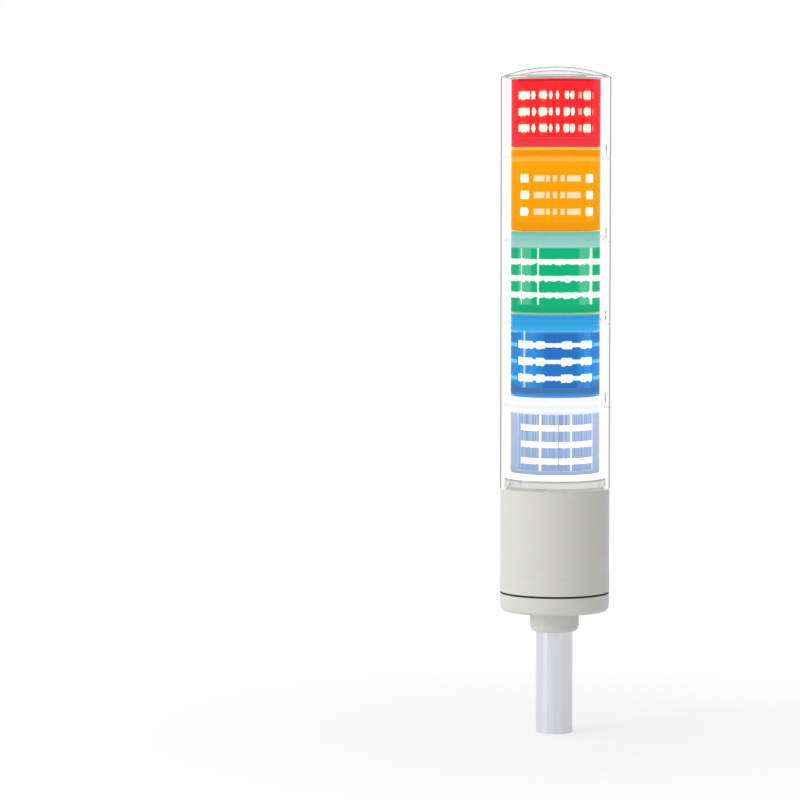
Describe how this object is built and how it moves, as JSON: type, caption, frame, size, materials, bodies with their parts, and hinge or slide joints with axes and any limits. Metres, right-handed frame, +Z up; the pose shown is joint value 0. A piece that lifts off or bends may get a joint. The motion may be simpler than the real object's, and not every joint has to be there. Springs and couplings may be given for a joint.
{
  "type": "stack light",
  "caption": "Pole-mounted signal tower with stacked twist-lock light modules in clear globes on a round grey base, closed by a low clear dome.",
  "frame": {"origin": "centre of the pole's lower end face", "axes": "+Z up along the pole and the stack, -Y towards the front"},
  "size_m": [0.06, 0.06, 0.3642],
  "materials": {
    "anodised_aluminium": "satin anodised",
    "light_grey_abs": "fine texture",
    "zinc_steel": "zinc plated",
    "black_rubber": "matt",
    "green_circuit_board": "solder mask",
    "green_terminal_plastic": "moulded",
    "black_component_plastic": "moulded",
    "white_abs": "moulded",
    "plated_brass": "plated",
    "clear_polycarbonate": "polished, clear",
    "clear_acrylic": "polished, clear",
    "clear_silicone": "translucent",
    "white_circuit_board": "white solder mask",
    "white_filter_polycarbonate": "tinted, translucent",
    "blue_filter_polycarbonate": "tinted, translucent",
    "green_filter_polycarbonate": "tinted, translucent",
    "amber_filter_polycarbonate": "tinted, translucent",
    "red_filter_polycarbonate": "tinted, translucent",
    "white_lamp": "light-emitting diode",
    "blue_lamp": "light-emitting diode",
    "green_lamp": "light-emitting diode",
    "amber_lamp": "light-emitting diode",
    "red_lamp": "light-emitting diode"
  },
  "bodies": {
    "base": {"pole": "anodised_aluminium", "pole_socket": "light_grey_abs", "set_screws": "zinc_steel", "lock_nut": "zinc_steel", "base_cap": "light_grey_abs", "base_gasket": "black_rubber", "base_housing": "light_grey_abs", "base_board": "green_circuit_board", "terminal_block": "green_terminal_plastic", "board_parts": "black_component_plastic", "contact_plate": "white_abs", "base_contact_pads": "plated_brass", "tie_screws": "zinc_steel", "white_seal": "clear_silicone"},
    "white_module": {"white_globe": "clear_polycarbonate", "white_filter": "white_filter_polycarbonate", "white_prism": "clear_acrylic", "white_led_frame": "white_abs", "white_led_boards": "white_circuit_board", "white_leds": "white_lamp", "white_contacts": "plated_brass", "white_contact_pads": "plated_brass", "blue_seal": "clear_silicone"},
    "blue_module": {"blue_globe": "clear_polycarbonate", "blue_filter": "blue_filter_polycarbonate", "blue_prism": "clear_acrylic", "blue_led_frame": "white_abs", "blue_led_boards": "white_circuit_board", "blue_leds": "blue_lamp", "blue_contacts": "plated_brass", "blue_contact_pads": "plated_brass", "green_seal": "clear_silicone"},
    "green_module": {"green_globe": "clear_polycarbonate", "green_filter": "green_filter_polycarbonate", "green_prism": "clear_acrylic", "green_led_frame": "white_abs", "green_led_boards": "white_circuit_board", "green_leds": "green_lamp", "green_contacts": "plated_brass", "green_contact_pads": "plated_brass", "amber_seal": "clear_silicone"},
    "amber_module": {"amber_globe": "clear_polycarbonate", "amber_filter": "amber_filter_polycarbonate", "amber_prism": "clear_acrylic", "amber_led_frame": "white_abs", "amber_led_boards": "white_circuit_board", "amber_leds": "amber_lamp", "amber_contacts": "plated_brass", "amber_contact_pads": "plated_brass", "red_seal": "clear_silicone"},
    "red_module": {"red_globe": "clear_polycarbonate", "red_filter": "red_filter_polycarbonate", "red_prism": "clear_acrylic", "red_led_frame": "white_abs", "red_led_boards": "white_circuit_board", "red_leds": "red_lamp", "red_contacts": "plated_brass", "end_disc": "white_abs", "cap_seal": "clear_silicone", "top_cap": "clear_polycarbonate"}
  },
  "joints": [
    {"name": "white_twist_lock", "type": "hinge", "parent": "base", "child": "white_module", "pos_m": [0, 0, 0.1346], "axis": [0, 0, 1], "range_deg": [0, 22]},
    {"name": "blue_twist_lock", "type": "hinge", "parent": "white_module", "child": "blue_module", "pos_m": [0, 0, 0.1796], "axis": [0, 0, 1], "range_deg": [0, 22]},
    {"name": "green_twist_lock", "type": "hinge", "parent": "blue_module", "child": "green_module", "pos_m": [0, 0, 0.2246], "axis": [0, 0, 1], "range_deg": [0, 22]},
    {"name": "amber_twist_lock", "type": "hinge", "parent": "green_module", "child": "amber_module", "pos_m": [0, 0, 0.2696], "axis": [0, 0, 1], "range_deg": [0, 22]},
    {"name": "red_twist_lock", "type": "hinge", "parent": "amber_module", "child": "red_module", "pos_m": [0, 0, 0.3146], "axis": [0, 0, 1], "range_deg": [0, 22]}
  ]
}
